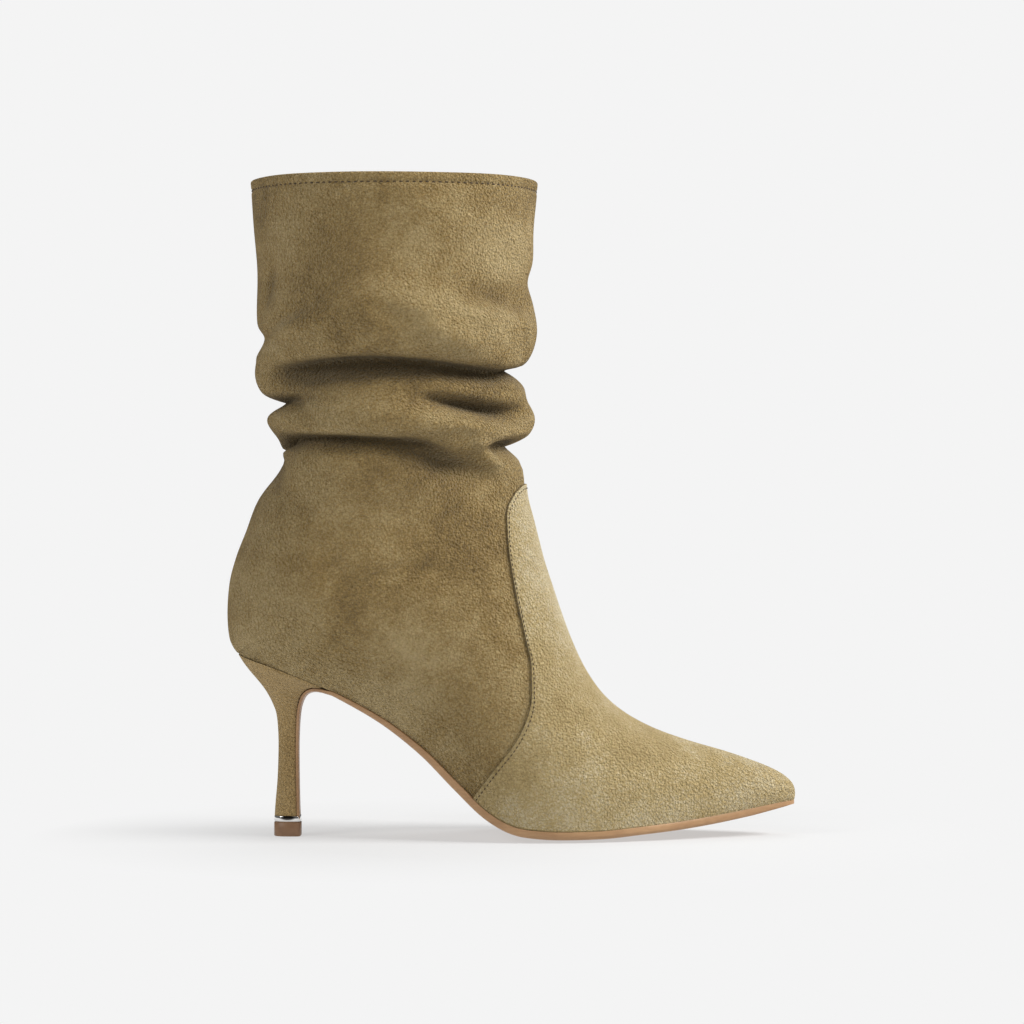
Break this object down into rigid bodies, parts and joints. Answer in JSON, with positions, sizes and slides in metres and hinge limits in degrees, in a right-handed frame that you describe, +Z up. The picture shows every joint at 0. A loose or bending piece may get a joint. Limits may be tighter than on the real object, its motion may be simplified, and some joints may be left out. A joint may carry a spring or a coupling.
{
  "type": "slouch boot",
  "caption": "Right suede slouch boot with a pointed toe, a gathered shaft, a covered stiletto heel with a metal band, and a leather sole.",
  "frame": {"origin": "on the floor under the middle of the boot's box", "axes": "+X to the toe, +Y to the inner side, +Z up to the collar"},
  "size_m": [0.2502, 0.101, 0.2868],
  "materials": {
    "suede": "napped",
    "vamp_suede": "napped",
    "sole_leather": "smooth",
    "insole_leather": "smooth",
    "heel_suede": "napped",
    "silver": "polished",
    "tip_rubber": "satin"
  },
  "bodies": {
    "root": {"upper": "suede", "vamp": "vamp_suede", "outsole": "sole_leather", "insole": "insole_leather", "heel": "heel_suede", "heel_band": "silver", "top_piece": "tip_rubber"}
  },
  "joints": []
}
